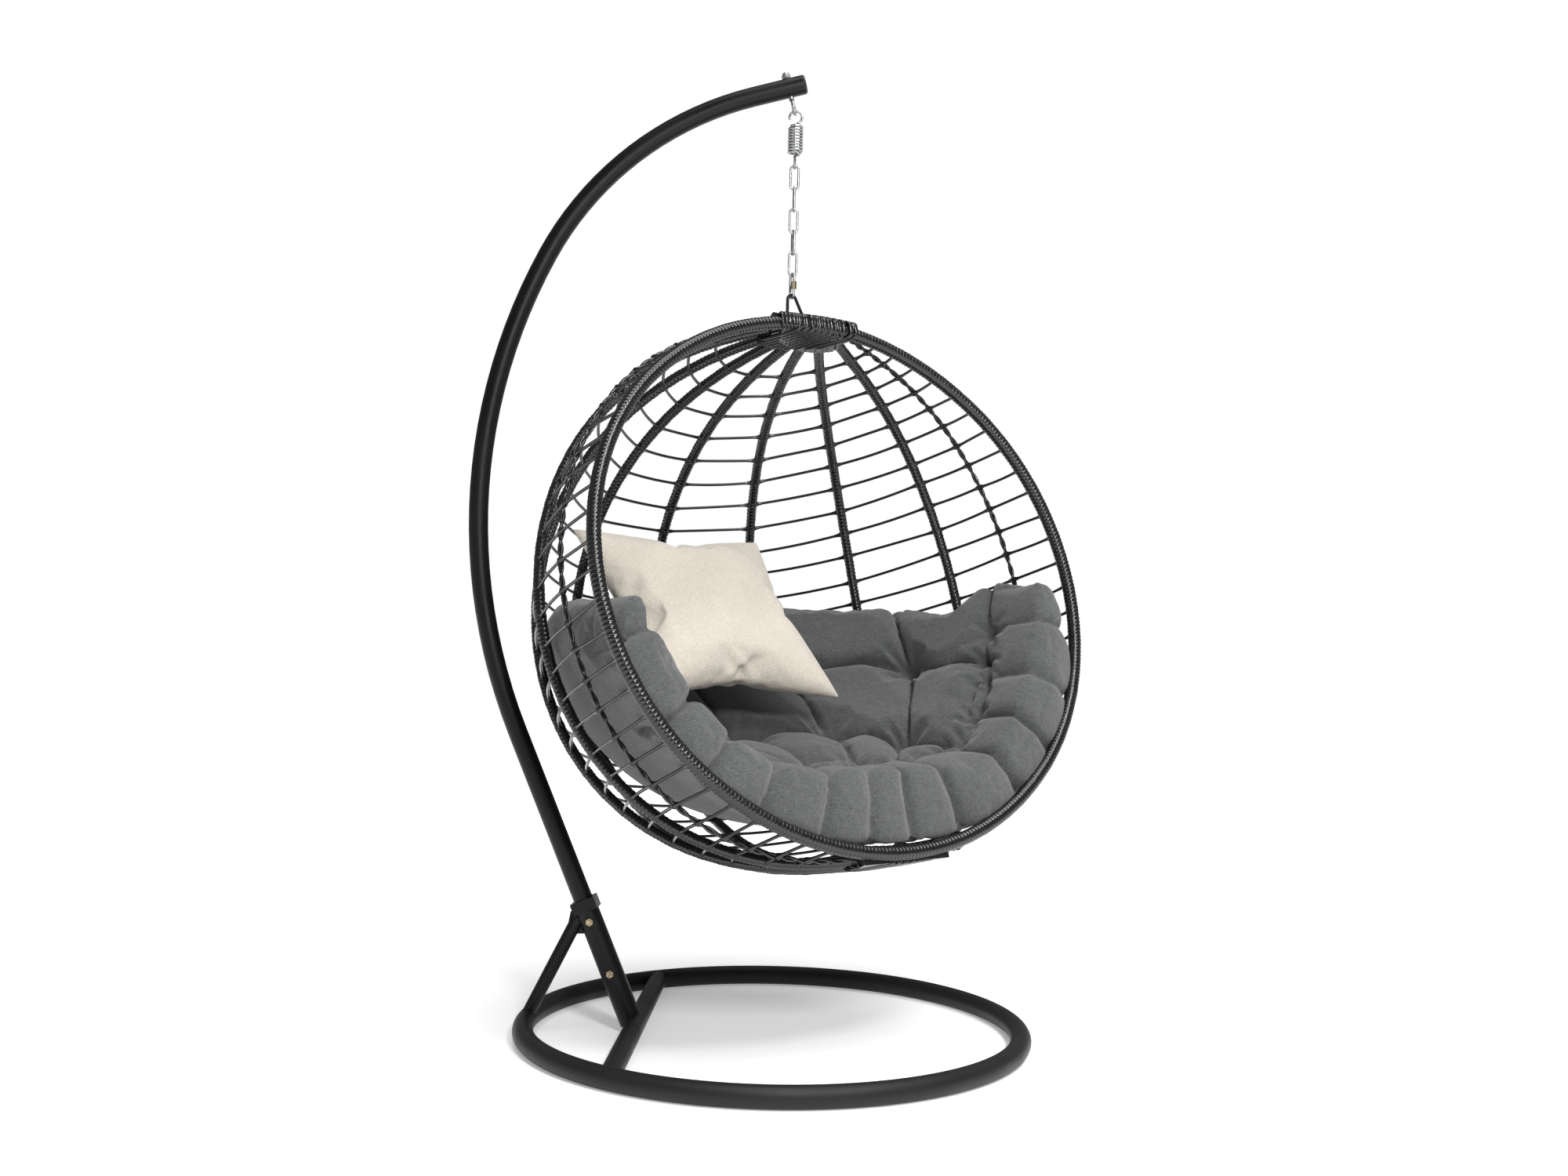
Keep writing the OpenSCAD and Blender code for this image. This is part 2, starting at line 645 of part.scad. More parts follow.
// A square pillow with a knife edge, its corners a little drawn in
module pillow_form(side, thick, n = 8) {
    half = side / 2;
    function pinch(u, v) = 1 - 0.05 * (1 - pow(v, 2)) * pow(abs(u), 3);
    function at(u, v, s) = [half * u * pinch(u, v), half * v * pinch(v, u),
        s * thick / 2 * pow((1 - pow(u, 2)) * (1 - pow(v, 2)), 0.45)];
    grid = [for (i = [0:n], j = [0:n]) let (u = 2 * i / n - 1, v = 2 * j / n - 1) [u, v]];
    top = [for (g = grid) at(g[0], g[1], 1)];
    edge = function(i, j) i == 0 || j == 0 || i == n || j == n;
    bottom = [for (g = grid) at(g[0], g[1], -1)];
    m = (n + 1) * (n + 1);
    function id(i, j, low) = i * (n + 1) + j + ((low && !edge(i, j)) ? m : 0);
    // each cell's diagonal points at the pillow's middle, so that no face lies along an edge
    function cell(i, j) = (i < n / 2) == (j < n / 2)
        ? [[[i, j], [i, j + 1], [i + 1, j + 1]], [[i, j], [i + 1, j + 1], [i + 1, j]]]
        : [[[i, j], [i, j + 1], [i + 1, j]], [[i, j + 1], [i + 1, j + 1], [i + 1, j]]];
    faces = [for (i = [0:n - 1], j = [0:n - 1], t = cell(i, j)) each [
        [for (p = t) id(p[0], p[1], false)],
        [for (k = [2:-1:0]) id(t[k][0], t[k][1], true)]]];
    polyhedron(concat(top, bottom), faces, convexity = 4);
}

module scatter_pillow() {
    color("#d8cfc0") translate(pillow_at) rotate([0, 0, pillow_turn[2]]) rotate([90 + pillow_turn[0], 0, 0])
        difference() {
            pillow_form(pillow_side, pillow_thick);
            pillow_form(pillow_side - 6 * pillow_wall, pillow_thick - 2 * pillow_wall);
        }
}

// ---------- nodes ----------

base_ring();
base_crossbar();
pole_socket();
socket_brace();
pole();
pole_end_cap();
socket_bolts();
socket_nuts();
eye_bolt();
eye_bolt_nut();
hang_spring();
for (k = [1:LINK_COUNT]) chain_link(k);
quick_link();
quick_link_sleeve();
hanger_loop();
rim_hoop();
rim_wrap();
hub(1);  // hub_top
hub(-1);  // hub_bottom
for (k = [1:RIB_COUNT]) rib(k);
for (k = [1:RIB_COUNT]) rib_wrap(k);
side_cane(1);  // side_cane_left
side_cane(-1);  // side_cane_right
for (k = [1:GAP_COUNT]) weave(k);
seat_cushion();
scatter_pillow();
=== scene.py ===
"""The look of a hanging egg chair: painted stand, zinc hanging gear, wicker basket, cushion and pillow."""
import json
import math

import bpy
import numpy as np
from mathutils import Matrix, Vector


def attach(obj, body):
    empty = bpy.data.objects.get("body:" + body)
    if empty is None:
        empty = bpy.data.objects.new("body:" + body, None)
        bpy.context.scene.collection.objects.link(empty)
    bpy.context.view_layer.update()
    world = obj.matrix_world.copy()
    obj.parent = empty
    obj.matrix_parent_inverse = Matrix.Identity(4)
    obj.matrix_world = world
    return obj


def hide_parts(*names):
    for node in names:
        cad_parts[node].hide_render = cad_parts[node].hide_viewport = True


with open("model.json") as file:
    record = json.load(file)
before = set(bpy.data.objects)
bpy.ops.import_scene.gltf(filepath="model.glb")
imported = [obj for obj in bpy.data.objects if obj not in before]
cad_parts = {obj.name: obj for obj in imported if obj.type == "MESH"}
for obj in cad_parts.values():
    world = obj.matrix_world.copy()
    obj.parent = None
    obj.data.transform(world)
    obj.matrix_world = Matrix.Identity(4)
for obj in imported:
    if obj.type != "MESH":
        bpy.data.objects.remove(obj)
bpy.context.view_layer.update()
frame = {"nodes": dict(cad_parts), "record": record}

NODES = frame["nodes"]
RNG = np.random.default_rng(11)

# ---------- sizes of the basket, as in the CAD, in metres and degrees ----------
RIM_H = 0.525
RIM_W = 0.567
DEPTH = 0.770
SUPERNESS = 0.86
HUB_SPREAD = 0.049
HUB_BACK = 0.050
HUB_R = 0.102
HUB_SHIFT = -0.020
ROOT_R = 0.092
ROOT_FAN = 0.87
ROOT_FADE = 4
RIM_SIDE_R = 0.500
RIM_R = 0.0125
RIB_R = 0.011
CANE_R = 0.005
STRAND_R = 0.0031
ROWS = 27
FIRST_ROW = 11
RIM_LEAD = 6
RIB_STEPS = (0, 18.8, 38.9, 60.5)
CANE_STEP = 75.9
RIB_ANGLES = [90 - math.copysign(RIB_STEPS[abs(k)], k) for k in range(-3, 4)]
POSTS = [180, 90 + CANE_STEP, *RIB_ANGLES, 90 - CANE_STEP, 0]
LAST_POST = len(POSTS) - 1

BASKET = (
    Matrix.Translation((0, -0.054, 1.399))
    @ Matrix.Rotation(math.radians(-52.8), 4, "Z")
    @ Matrix.Rotation(math.radians(-16.1), 4, "X")
    @ Matrix.Rotation(math.radians(-0.9), 4, "Y")
    @ Matrix.Translation((0, 0, -RIM_H))
)
TILT = math.radians(16.1)
CENTRE_Z = 1.399 - RIM_H * math.cos(TILT)


# ---------- meshes ----------

def unit(v):
    """Rows of v, each of length one."""
    v = np.asarray(v, float)
    return v / np.linalg.norm(v, axis=-1, keepdims=True)


def in_basket(points):
    """Points of the basket's frame, in the chair's."""
    m = np.array(BASKET)
    return np.asarray(points) @ m[:3, :3].T + m[:3, 3]


class Solids:
    """Gathers vertices and quads, and makes one object of them."""

    def __init__(self):
        self.verts, self.quads, self.count = [], [], 0

    def add(self, verts, quads):
        self.verts.append(np.asarray(verts, float).reshape(-1, 3))
        self.quads.append(np.asarray(quads, int) + self.count)
        self.count += len(self.verts[-1])

    def make(self, name, material, body, replaces=()):
        obj = mesh_object(name, in_basket(np.concatenate(self.verts)), np.concatenate(self.quads))
        obj.data.materials.append(material)
        return declare(obj, body, replaces)


def mesh_object(name, verts, quads):
    """A smooth mesh object of quads."""
    mesh = bpy.data.meshes.new(name)
    mesh.vertices.add(len(verts))
    mesh.vertices.foreach_set("co", np.asarray(verts, np.float32).ravel())
    mesh.loops.add(quads.size)
    mesh.loops.foreach_set("vertex_index", quads.astype(np.int32).ravel())
    mesh.polygons.add(len(quads))
    mesh.polygons.foreach_set("loop_start", np.arange(0, quads.size, 4, dtype=np.int32))
    mesh.polygons.foreach_set("use_smooth", np.ones(len(quads), bool))
    mesh.update(calc_edges=True)
    obj = bpy.data.objects.new(name, mesh)
    bpy.context.scene.collection.objects.link(obj)
    return obj


def declare(obj, body, replaces=()):
    """Says what a piece rides on, and hides the CAD nodes that it stands for."""
    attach(obj, body)
    if replaces:
        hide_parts(*replaces)
    return obj


class Line:
    """A polyline with a frame carried along it, sampled by length."""

    def __init__(self, points):
        self.points = np.asarray(points, float)
        steps = np.diff(self.points, axis=0)
        self.at_length = np.concatenate([[0], np.cumsum(np.linalg.norm(steps, axis=1))])
        self.length = self.at_length[-1]
        self.heading = unit(np.gradient(self.points, self.at_length, axis=0))
        side = unit(np.cross(self.heading[0], (0.31, 0.87, 0.39)))
        sides = []
        for d in self.heading:
            side = unit(side - (side @ d) * d)
            sides.append(side)
        self.side = np.array(sides)

    def sample(self, s):
        """Position, first axis and second axis at the lengths s."""
        def pick(values):
            return np.stack([np.interp(s, self.at_length, values[:, i]) for i in range(3)], -1)
        heading = unit(pick(self.heading))
        side = unit(pick(self.side))
        return pick(self.points), side, np.cross(heading, side)


def ring_quads(rings, sides, closed=False):
    """Quads between successive rings of vertices."""
    i = np.arange(rings if closed else rings - 1)[:, None]
    k = np.arange(sides)[None, :]
    a = i * sides + k
    b = i * sides + (k + 1) % sides
    step = (i + 1) % rings * sides
    return np.stack([a, b, step + (k + 1) % sides, step + k], -1).reshape(-1, 4)


def tube(points, radii, sides=8):
    """Vertices and quads of round bar along points."""
    line = Line(points)
    radii = np.broadcast_to(radii, len(line.points))
    w = 2 * math.pi * np.arange(sides) / sides
    second = np.cross(line.heading, line.side)
    verts = (
        line.points[:, None]
        + radii[:, None, None] * np.cos(w)[None, :, None] * line.side[:, None]
        + radii[:, None, None] * np.sin(w)[None, :, None] * second[:, None]
    )
    return verts, ring_quads(len(line.points), sides)


def ribbon(points, across, width, thick):
    """A flat strip along points, closed on itself. across is the direction of its width at each point."""
    points = np.asarray(points)
    heading = unit(np.roll(points, -1, 0) - np.roll(points, 1, 0))
    across = np.broadcast_to(across, points.shape)
    across = unit(across - np.sum(across * heading, 1, keepdims=True) * heading)
    out = np.cross(heading, across)
    shape = [(-0.5, 0), (-0.36, 0.5), (0, 0.62), (0.36, 0.5), (0.5, 0), (0, -0.5)]
    verts = np.stack([points + u * width * across + v * thick * out for u, v in shape], 1)
    return verts, ring_quads(len(points), len(shape), closed=True)


def wound(line, radius, pitch, ridge, wobble, sides, start=0.0, per_turn=6, lap=0.12):
    """A strip wound round a line as one helical surface: each turn is a low ridge that laps the next."""
    turns = int((line.length - start) / pitch) - 1
    n = turns * per_turn + 1
    i = np.arange(n)[:, None]
    k = np.arange(sides)[None, :]
    s = start + (i / per_turn + k / sides) * pitch
    u = (i % per_turn) / per_turn
    profile = ridge * (1 - np.abs(2 * u - 1) ** 3) * (1 - lap * u)
    w = 2 * math.pi * k / sides
    phase = RNG.uniform(0, 6.28, 4)
    waves = (
        np.sin(s / 0.0093 + phase[0] + w)
        + np.sin(s / 0.0061 + phase[1] - w)
        + np.sin(s / 0.0171 + phase[2])
        + np.sin(s / 0.0037 + phase[3] + 2 * w)
    ) / 4
    r = radius + profile + wobble * waves
    centre, a, b = line.sample(s)
    verts = centre + r[..., None] * (np.cos(w)[..., None] * a + np.sin(w)[..., None] * b)
    ii = np.arange(n - 1)[:, None]
    kk = np.arange(sides - 1)[None, :]
    along = ii * sides + kk
    quads = np.stack([along, along + 1, along + sides + 1, along + sides], -1).reshape(-1, 4)
    j = np.arange(n - 1 - per_turn)
    last = j * sides + sides - 1
    first = (j + per_turn) * sides
    seam = np.stack([last, first, first + sides, last + sides], -1)
    return verts.reshape(-1, 3), np.concatenate([quads, seam])


# ---------- the basket's curves ----------

def reach(f):
    return 1 / math.hypot(math.cos(f) / RIM_W, math.sin(f) / DEPTH)


def meridian(azimuth, t):
    """A point on the meridian at an azimuth; t runs from 0 at the top to 180 at the bottom."""
    f, t = math.radians(azimuth), math.radians(t)
    g = math.pi / 2 + (f - math.pi / 2) * ROOT_FAN
    end = np.array([HUB_SPREAD * math.cos(f), HUB_BACK])
    root = np.array([ROOT_R * math.cos(g), HUB_SHIFT + ROOT_R * math.sin(g)])
    p = max(math.sin(t), 0) ** SUPERNESS
    far = p * reach(f) * np.array([math.cos(f), math.sin(f)])
    plan = end * (1 - p) + (root - end) * (1 - p) ** ROOT_FADE + far
    return np.array([plan[0], plan[1], RIM_H * math.cos(t)])


def rim_point(turn):
    """A point on the rim's four arcs; turn runs from 0 at the top, by the right, to 360."""
    end_r = ((RIM_W - RIM_SIDE_R) ** 2 + RIM_H**2 - RIM_SIDE_R**2) / (2 * (RIM_H - RIM_SIDE_R))
    joint = math.atan2(end_r - RIM_H, RIM_W - RIM_SIDE_R)
    a = math.radians(turn)
    x, z = abs(math.sin(a)), abs(math.cos(a))
    if math.atan2(z, x) < joint:
        c = RIM_W - RIM_SIDE_R
        d = c * x + math.sqrt(RIM_SIDE_R**2 - (c * z) ** 2)
    else:
        c = end_r - RIM_H
        d = -c * z + math.sqrt(end_r**2 - (c * x) ** 2)
    return np.array([d * math.sin(a), 0, d * math.cos(a)])


def post(k, t):
    """A point on post k: the rim at either end, and the canes and ribs between."""
    if k in (0, LAST_POST):
        on_rim = t + RIM_LEAD * math.cos(math.radians(t))
        return rim_point(on_rim if k == LAST_POST else -on_rim)
    return meridian(POSTS[k], t)


def post_r(k):
    if k in (0, LAST_POST):
        return RIM_R
    return CANE_R if k in (1, LAST_POST - 1) else RIB_R


def rib_line(azimuth, low=0.6, samples=160):
    return Line([meridian(azimuth, low + (180 - 2 * low) * i / samples) for i in range(samples + 1)])


# ---------- materials ----------

class Look:
    """A procedural material around one principled shader."""

    def __init__(self, name, colour, roughness, metallic=0.0, **sockets):
        self.material = bpy.data.materials.new(name)
        self.material.use_nodes = True
        self.tree = self.material.node_tree
        self.shader = self.tree.nodes["Principled BSDF"]
        self.shader.inputs["Base Color"].default_value = (*colour, 1)
        self.shader.inputs["Roughness"].default_value = roughness
        self.shader.inputs["Metallic"].default_value = metallic
        for socket, value in sockets.items():
            self.shader.inputs[socket.replace("_", " ")].default_value = value
        self.coords = self.tree.nodes.new("ShaderNodeTexCoord").outputs["Object"]
        self.height = None

    def link(self, a, b):
        self.tree.links.new(a, b)

    def noise(self, scale, detail=3.0, stretch=(1, 1, 1), turn=(0, 0, 0)):
        """A noise texture of that scale per metre, stretched along an axis if asked."""
        mapping = self.tree.nodes.new("ShaderNodeMapping")
        mapping.inputs["Scale"].default_value = stretch
        mapping.inputs["Rotation"].default_value = [math.radians(a) for a in turn]
        self.link(self.coords, mapping.inputs["Vector"])
        node = self.tree.nodes.new("ShaderNodeTexNoise")
        node.inputs["Scale"].default_value = scale
        node.inputs["Detail"].default_value = detail
        self.link(mapping.outputs["Vector"], node.inputs["Vector"])
        return node.outputs["Fac"]

    def ramp(self, value, low, high, start=0.35, end=0.65):
        """A colour or grey that goes from low to high as value goes from start to end."""
        node = self.tree.nodes.new("ShaderNodeValToRGB")
        node.color_ramp.elements[0].position = start
        node.color_ramp.elements[0].color = (*low, 1)
        node.color_ramp.elements[1].position = end
        node.color_ramp.elements[1].color = (*high, 1)
        self.link(value, node.inputs["Fac"])
        return node.outputs["Color"]

    def mix(self, a, b, how="MULTIPLY", share=1.0):
        node = self.tree.nodes.new("ShaderNodeMix")
        node.data_type = "RGBA"
        node.blend_type = how
        node.inputs[0].default_value = share
        self.link(a, node.inputs[6])
        self.link(b, node.inputs[7])
        return node.outputs[2]

    def colour(self, value):
        self.link(value, self.shader.inputs["Base Color"])

    def rough(self, value, low, high):
        self.link(self.ramp(value, (low,) * 3, (high,) * 3), self.shader.inputs["Roughness"])

    def bump(self, value, depth):
        """Adds a bump of that depth in metres over what is there already."""
        node = self.tree.nodes.new("ShaderNodeBump")
        node.inputs["Distance"].default_value = depth
        node.inputs["Strength"].default_value = 1.0
        self.link(value, node.inputs["Height"])
        if self.height is not None:
            self.link(self.height, node.inputs["Normal"])
        self.height = node.outputs["Normal"]
        self.link(self.height, self.shader.inputs["Normal"])


def powder_coat(name, colour, light, roughness):
    """Powder coat: a fine even grain, a little uneven in gloss."""
    look = Look(name, colour, roughness, Specular_IOR_Level=0.25)
    look.colour(look.ramp(look.noise(1300, 2), colour, light))
    look.rough(look.noise(9, 4), roughness - 0.05, roughness + 0.06)
    look.bump(look.noise(1500, 2), 0.00018)
    look.bump(look.noise(45, 2), 0.00025)
    return look.material


def zinc(name, colour, dull):
    """Zinc plate: bright metal with a cloudy passivation and fine scratches."""
    look = Look(name, colour, 0.3, 1.0)
    look.colour(look.ramp(look.noise(160, 4), dull, colour))
    look.rough(look.noise(420, 4), 0.2, 0.44)
    look.bump(look.noise(900, 3, (1, 1, 6)), 0.00008)
    return look.material


def cap_plastic():
    look = Look("cap_plastic", (0.012, 0.012, 0.013), 0.5)
    look.rough(look.noise(300, 3), 0.42, 0.6)
    look.bump(look.noise(1100, 2), 0.0001)
    return look.material


def wicker():
    """Extruded cane: a dark, glossy plastic with drawn streaks and small scuffs."""
    dark = (0.0034, 0.0035, 0.0038)
    light = (0.0095, 0.0098, 0.0105)
    look = Look("wicker", dark, 0.2, Specular_IOR_Level=0.6)
    look.colour(look.ramp(look.noise(38, 5), dark, light, 0.3, 0.75))
    look.rough(look.noise(120, 4), 0.13, 0.26)
    look.bump(look.noise(700, 3, (1, 1, 0.25)), 0.00005)
    look.bump(look.noise(130, 2), 0.00012)
    return look.material


def woven(name, dark, mid, light, thread, depth):
    """Cloth of melange yarn: crossed light and dark flecks over a fine weave."""
    look = Look(name, mid, 0.92, Specular_IOR_Level=0.2, Sheen_Weight=0.25, Sheen_Roughness=0.6)
    weft = look.ramp(look.noise(thread, 2, (0.22, 0.22, 1.5), (12, 20, 0)), dark, light)
    warp = look.ramp(look.noise(thread, 2, (1.3, 1.3, 0.2), (8, -14, 35)), dark, light)
    flecks = look.mix(weft, warp, "MIX", 0.5)
    clouds = look.ramp(look.noise(7, 3), (0.9,) * 3, (1.0,) * 3)
    look.colour(look.mix(flecks, clouds))
    look.bump(look.noise(thread * 1.4, 2, (1, 1, 1.6)), depth)
    look.bump(look.noise(60, 3), depth * 2.5)
    return look.material


MATERIALS = {
    "ring_paint": powder_coat("ring_paint", (0.007, 0.0072, 0.0078), (0.015, 0.0155, 0.0165), 0.47),
    "stand_paint": powder_coat("stand_paint", (0.0016, 0.0016, 0.0017), (0.0028, 0.0028, 0.003), 0.36),
    "hanger_paint": powder_coat("hanger_paint", (0.006, 0.006, 0.006), (0.012, 0.012, 0.012), 0.36),
    "frame_paint": powder_coat("frame_paint", (0.01, 0.01, 0.01), (0.018, 0.018, 0.018), 0.4),
    "cap_plastic": cap_plastic(),
    "bright_zinc": zinc("bright_zinc", (0.50, 0.51, 0.52), (0.30, 0.305, 0.31)),
    "yellow_zinc": zinc("yellow_zinc", (0.5, 0.42, 0.27), (0.3, 0.24, 0.15)),
    "wicker": wicker(),
    "cushion_fabric": woven(
        "cushion_fabric", (0.034, 0.0355, 0.0355), (0.066, 0.068, 0.068), (0.110, 0.113, 0.113), 620, 0.0009
    ),
    "pillow_fabric": woven(
        "pillow_fabric", (0.46, 0.41, 0.34), (0.6, 0.545, 0.465), (0.72, 0.665, 0.585), 800, 0.0005
    ),
}


def dress_cad():
    """Gives every CAD node its slot's material, and smooth shading up to sharp edges."""
    slots = {s["node"]: s["material_slot"] for s in frame["record"]["subparts"]}
    for name, obj in NODES.items():
        obj.data.materials.clear()
        obj.data.materials.append(MATERIALS[slots[name]])
        normals = obj.data.attributes.get("custom_normal")
        if normals is not None:
            obj.data.attributes.remove(normals)
        obj.data.polygons.foreach_set("use_smooth", np.ones(len(obj.data.polygons), bool))
        obj.data.set_sharp_from_angle(angle=math.radians(38))


# ---------- wicker ----------

RIM_PITCH = 0.0082
RIB_PITCH = 0.0086
CROWN_PITCH = 0.0092
CROWN_SPAN = 17


def rim_winding():
    """The flat cane wound round the rim from its top and back to it, and a second, thicker winding there."""
    line = Line([rim_point(360 * i / 720) for i in range(721)])
    rim = Solids()
    rim.add(*wound(line, RIM_R - 0.0004, RIM_PITCH, 0.0012, 0.0003, 20))
    crown = Line([rim_point(-CROWN_SPAN / 2 + CROWN_SPAN * i / 60) for i in range(61)])
    rim.add(*wound(crown, RIM_R + 0.0020, CROWN_PITCH, 0.0018, 0.0006, 20))
    return rim.make("rim_winding", MATERIALS["wicker"], "basket", ["rim_wrap"])


def rib_winding(k):
    """The cane wound round rib k, less even than on the rim."""
    rib = Solids()
    line = rib_line(RIB_ANGLES[k - 1])
    rib.add(*wound(line, RIB_R - 0.0012, RIB_PITCH, 0.0011, 0.0005, 14, lap=0.4))
    return rib.make(f"rib_winding_{k}", MATERIALS["wicker"], "basket", [f"rib_wrap_{k}"])


def twined_cane(side, name):
    """Two canes twined round each other."""
    line = rib_line(90 + side * CANE_STEP)
    s = np.linspace(0, line.length, 420)
    centre, a, b = line.sample(s)
    cane = Solids()
    for start in (0, math.pi):
        w = (2 * math.pi * s / 0.062 + start)[:, None]
        cane.add(*tube(centre + 0.0027 * (np.cos(w) * a + np.sin(w) * b), 0.0029, 8))
    return cane.make(f"twined_{name}", MATERIALS["wicker"], "basket", [name])


# where each row crosses each post: every crossing is a little off its even place
CROSS = {
    (j, k): FIRST_ROW + (180 - 2 * FIRST_ROW) * j / (ROWS - 1) + RNG.normal(0, 0.22)
    for j in range(ROWS)
    for k in range(LAST_POST + 1)
}


def strands(k):
    """The canes between post k - 1 and post k, bowed outwards and flared where they are tied."""
    rods = Solids()
    bend = 0.012 if k in (1, LAST_POST) else 0.03
    for j in range(ROWS):
        a, b = post(k - 1, CROSS[j, k - 1]), post(k, CROSS[j, k])
        d = unit(b - a)
        a, b = a + d * (post_r(k - 1) - 0.005), b - d * (post_r(k) - 0.005)
        length = np.linalg.norm(b - a)
        if length < 0.012:
            continue
        u = np.array([0, 0.04, 0.09, 0.16, 0.28, 0.42, 0.58, 0.72, 0.84, 0.91, 0.96, 1])
        middle = (a + b) / 2
        out = unit(np.array([middle[0], middle[1], 0.25 * middle[2]]))
        bow = bend * length * np.sin(math.pi * u)[:, None]
        sag = RNG.normal(-0.004, 0.006) * length * np.sin(math.pi * u)
        points = a + u[:, None] * (b - a) + bow * out
        points[:, 2] += sag
        near = np.minimum(u, 1 - u) * length
        flare = 0.0042 * np.exp(-((near / 0.0075) ** 1.6))
        rods.add(*tube(points, STRAND_R + flare, 8))
    return rods.make(f"strands_{k}", MATERIALS["wicker"], "basket", [f"weave_{k}"])


def knots(k):
    """The turns of cane that tie every row to post k."""
    loops = Solids()
    turns = 2.3 if 1 < k < LAST_POST - 1 else 1.6
    for j in range(ROWS):
        t = CROSS[j, k]
        centre = post(k, t)
        axis = unit(post(k, t + 0.4) - post(k, t - 0.4))
        side = unit(np.cross(axis, (0, 0, 1) if abs(axis[2]) < 0.9 else (1, 0, 0)))
        other = np.cross(axis, side)
        w = np.linspace(0, 2 * math.pi * turns, int(11 * turns))[:, None] + RNG.uniform(0, 6.28)
        rise = np.linspace(-0.5, 0.5, len(w))[:, None] * 0.0048 * turns
        r = post_r(k) - 0.0018
        points = centre + r * (np.cos(w) * side + np.sin(w) * other) + rise * axis
        loops.add(*tube(points, 0.0022, 6))
    return loops.make(f"knots_{k}", MATERIALS["wicker"], "basket")


def hub_binding(s, name, thick, front):
    """Strips bound round the hub in two slanting layers, as far forward as front."""
    band = Solids()
    for layer, (count, slant, grow) in enumerate(((17, 0.55, 0), (10, -0.7, 0.0016))):
        for x in np.linspace(-0.070, 0.070, count) + RNG.normal(0, 0.0012, count):
            back = math.sqrt(max(HUB_R**2 - x**2, 0.03**2)) + HUB_SHIFT + 0.004 + grow
            half = 0.0144 + 0.3 * thick + grow
            corner = 0.009
            points = []
            for cy, cz, a0 in ((back, half, 0), (front, half, 90), (front, -half, 180), (back, -half, 270)):
                sy = 1 if cy > 0 else -1
                sz = 1 if cz > 0 else -1
                for a in np.radians(np.linspace(a0, a0 + 90, 5)):
                    y = cy - sy * corner + corner * math.cos(a)
                    z = cz - sz * corner + corner * math.sin(a)
                    points.append((x + slant * (y - 0.02), y, z))
            points = np.array(points)
            points[:, 2] += s * RIM_H - s * 0.5 * x * x
            band.add(*ribbon(points, (1, 0, 0), 0.0094, thick))
    return band.make(f"binding_{name}", MATERIALS["wicker"], "basket")


# ---------- soft goods ----------

CUSHION_INSET = 0.023
CUSHION_SHARE = (0.0, 0.045)
CUSHION_FRONT = 0.002
CUSHION_FADE = 0.190
CUSHION_FLOOR = (0.96, 0.87)
CUSHION_LOBE = 0.052
CUSHION_LEVEL = 0.848
CUSHION_SKIRT = 0.060
CUSHION_SEAT = 0.538
ROLL_DEPTH = 0.115
PLEATS = 14
TUFT_COLUMNS = [18 + 25.7 * k for k in range(7)]
TUFT_RINGS = (0.27, 0.54, 0.775)
TUFT_DEPTH = 0.068
CREASE_DEPTH = 0.036
PLEAT_DEPTH = 0.026
GATHER = 0.0032
SEAM_AT = 0.865
TUFT_SPREAD = 0.024
TUFT_HELD = 0.011
GATHER_AT = 0.026
GATHER_SPREAD = 0.022
RING_CREASE_SPREAD = 0.011
COLUMN_CREASE_SPREAD = 0.010
PLEAT_SPREAD = 0.010
PLEAT_CENTRE_Z = 0.06
ROLL_CREASE_DEPTH = 0.034
ROLL_CREASE_SPREAD = 0.017
KNOT_DEPTH = 0.044
KNOT_SPREAD = 0.015
KNOT_GATHER_AT = 0.028
SEAM_DEPTH = 0.004
SEAM_SPREAD = 0.006


def local_z(world, y):
    """Height in the basket's frame of a world height, at depth y."""
    return (world - CENTRE_Z + math.sin(TILT) * y) / math.cos(TILT)


def edge_r(f):
    """Plan radius of the cushion's edge at azimuth f."""
    z = local_z(CUSHION_LEVEL - CUSHION_SKIRT, 0.85 * DEPTH * math.sin(f))
    p = (1 - (z / RIM_H) ** 2) ** (SUPERNESS / 2)
    half_w, half_d = RIM_W * p, DEPTH * p + HUB_BACK * (1 - p)
    a = (math.cos(f) / half_w) ** 2 + (math.sin(f) / half_d) ** 2
    b = CUSHION_FRONT * math.sin(f) / half_d**2
    c = (CUSHION_FRONT / half_d) ** 2 - 1
    return (math.sqrt(b * b - a * c) - b) / a - CUSHION_INSET


def bowl(s):
    edge = 0.060 * (1 - math.sqrt(max(1 - ((s - 0.9) / 0.1) ** 2, 0))) if s > 0.9 else 0
    return CUSHION_SEAT + (CUSHION_LEVEL - CUSHION_SEAT) * min(s / 0.9, 1) ** 4.2 - edge


def ease(q):
    """A smooth step from 0 to 1."""
    p = min(max(q, 0), 1)
    return p * p * (3 - 2 * p)


def cushion_top(s, x, y):
    """The cushion's upper side: a bowl, with the right front corner standing higher."""
    lobe = CUSHION_LOBE * ease((x - 0.230) / 0.170) * ease((0.270 - y) / 0.150)
    return local_z(bowl(s) + lobe, y)


def cushion_under(s, x, y):
    """The cushion's underside, close to the shell in front and farther from it behind."""
    back = ease((y - CUSHION_FRONT) / CUSHION_FADE)
    share = CUSHION_SHARE[0] + (CUSHION_SHARE[1] - CUSHION_SHARE[0]) * back
    floor = CUSHION_FLOOR[0] + (CUSHION_FLOOR[1] - CUSHION_FLOOR[0]) * back
    q = min(math.hypot(x / RIM_W, y / DEPTH) + share, 0.999)
    low = -floor * RIM_H * math.sqrt(1 - q ** (2 / SUPERNESS))
    return min(low, cushion_top(s, x, y) - 0.040)


